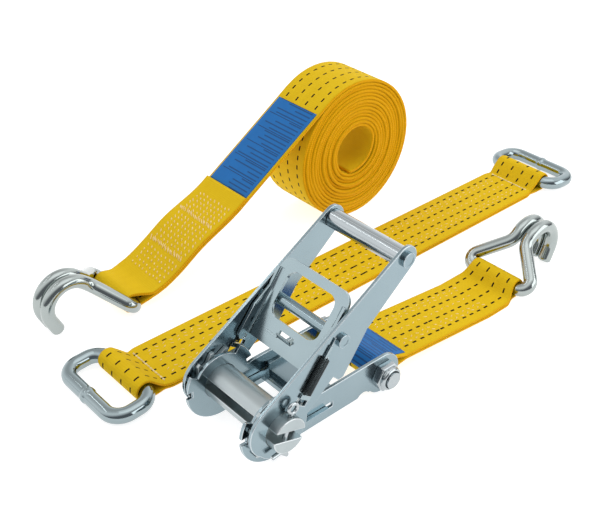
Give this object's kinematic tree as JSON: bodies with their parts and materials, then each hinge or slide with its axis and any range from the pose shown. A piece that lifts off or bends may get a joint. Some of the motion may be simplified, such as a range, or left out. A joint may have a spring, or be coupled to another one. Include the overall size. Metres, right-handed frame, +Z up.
{
  "type": "ratchet tie down",
  "caption": "Webbing ratchet tie down set: ratchet with swinging handle, slotted mandrel, pawls and hooked short strap, a rolled long strap with a claw hook, and a link strap with rings.",
  "frame": {"origin": "middle of the mandrel axis, in the webbing slot between the two frame plates", "axes": "+X from the mandrel to the anchor bolt, +Y along the mandrel towards the straps, +Z up from the floor"},
  "size_m": [0.505, 0.2557, 0.1224],
  "materials": {
    "zinc_plate": "bluish zinc plate, satin",
    "bright_zinc": "bright zinc plate",
    "spring_steel": "dark spring steel",
    "webbing": "woven yellow polyester",
    "label": "blue woven label"
  },
  "bodies": {
    "frame": {"frame_plate_left": "zinc_plate", "frame_plate_right": "zinc_plate", "anchor_bolt": "bright_zinc", "anchor_nut": "bright_zinc"},
    "lock_pawl": {"lock_pawl": "zinc_plate"},
    "mandrel": {"mandrel_upper": "zinc_plate", "mandrel_lower": "zinc_plate", "ratchet_wheel_left": "bright_zinc", "ratchet_wheel_right": "bright_zinc", "split_pin_left": "bright_zinc", "split_pin_right": "bright_zinc"},
    "handle": {"handle_plate_left": "zinc_plate", "handle_plate_right": "zinc_plate", "stop_rod": "zinc_plate", "grip_rivet": "zinc_plate", "drive_spring_left": "spring_steel", "drive_spring_right": "spring_steel"},
    "grip": {"grip_sleeve": "bright_zinc"},
    "drive_pawl": {"drive_pawl": "zinc_plate"},
    "short_strap": {"short_strap": "webbing", "short_label": "label"},
    "short_hook": {"short_hook": "bright_zinc"},
    "long_strap": {"long_roll": "webbing", "long_tail": "webbing", "long_label": "label"},
    "long_hook": {"long_hook": "bright_zinc"},
    "link_strap": {"link_strap": "webbing"},
    "ring_near": {"link_ring_near": "bright_zinc"},
    "ring_far": {"link_ring_far": "bright_zinc"}
  },
  "joints": [
    {"name": "handle_swing", "type": "hinge", "parent": "frame", "child": "handle", "pos_m": [0, 0, 0], "axis": [0, -1, 0], "range_deg": [-30, 135]},
    {"name": "mandrel_spin", "type": "hinge", "parent": "frame", "child": "mandrel", "pos_m": [0, 0, 0], "axis": [0, -1, 0], "continuous": true},
    {"name": "drive_pawl_slide", "type": "slide", "parent": "handle", "child": "drive_pawl", "axis": [0.6212, 0, 0.7837], "range_m": [-0.0042, 0.005], "stiffness_N_per_m": 2000, "deforming": ["drive_spring_left", "drive_spring_right"]},
    {"name": "lock_pawl_slide", "type": "slide", "parent": "frame", "child": "lock_pawl", "axis": [1, 0, 0], "range_m": [0, 0.006], "stiffness_N_per_m": 800, "springref_m": -0.004},
    {"name": "grip_roll", "type": "hinge", "parent": "handle", "child": "grip", "pos_m": [0.10423, 0, 0.07969], "axis": [0, -1, 0], "continuous": true},
    {"name": "short_strap_swing", "type": "hinge", "parent": "frame", "child": "short_strap", "pos_m": [0.095, 0, -0.012], "axis": [0, -1, 0], "range_deg": [0, 50]},
    {"name": "short_hook_swing", "type": "hinge", "parent": "short_strap", "child": "short_hook", "pos_m": [0.25, 0, -0.019], "axis": [0, -1, 0], "range_deg": [-40, 60]},
    {"name": "long_strap_lift", "type": "slide", "parent": "frame", "child": "long_strap", "axis": [0, 0, 1], "range_m": [0, 0.25]},
    {"name": "long_hook_swing", "type": "hinge", "parent": "long_strap", "child": "long_hook", "pos_m": [0.01703, 0.18, -0.019], "axis": [0, 1, 0], "range_deg": [-40, 60]},
    {"name": "link_strap_lift", "type": "slide", "parent": "frame", "child": "link_strap", "axis": [0, 0, 1], "range_m": [0, 0.25]},
    {"name": "ring_near_swing", "type": "hinge", "parent": "link_strap", "child": "ring_near", "pos_m": [-0.0315, 0.093, -0.01875], "axis": [0, 1, 0], "range_deg": [0, 110]},
    {"name": "ring_far_swing", "type": "hinge", "parent": "link_strap", "child": "ring_far", "pos_m": [0.4005, 0.093, -0.01875], "axis": [0, -1, 0], "range_deg": [0, 110]}
  ]
}
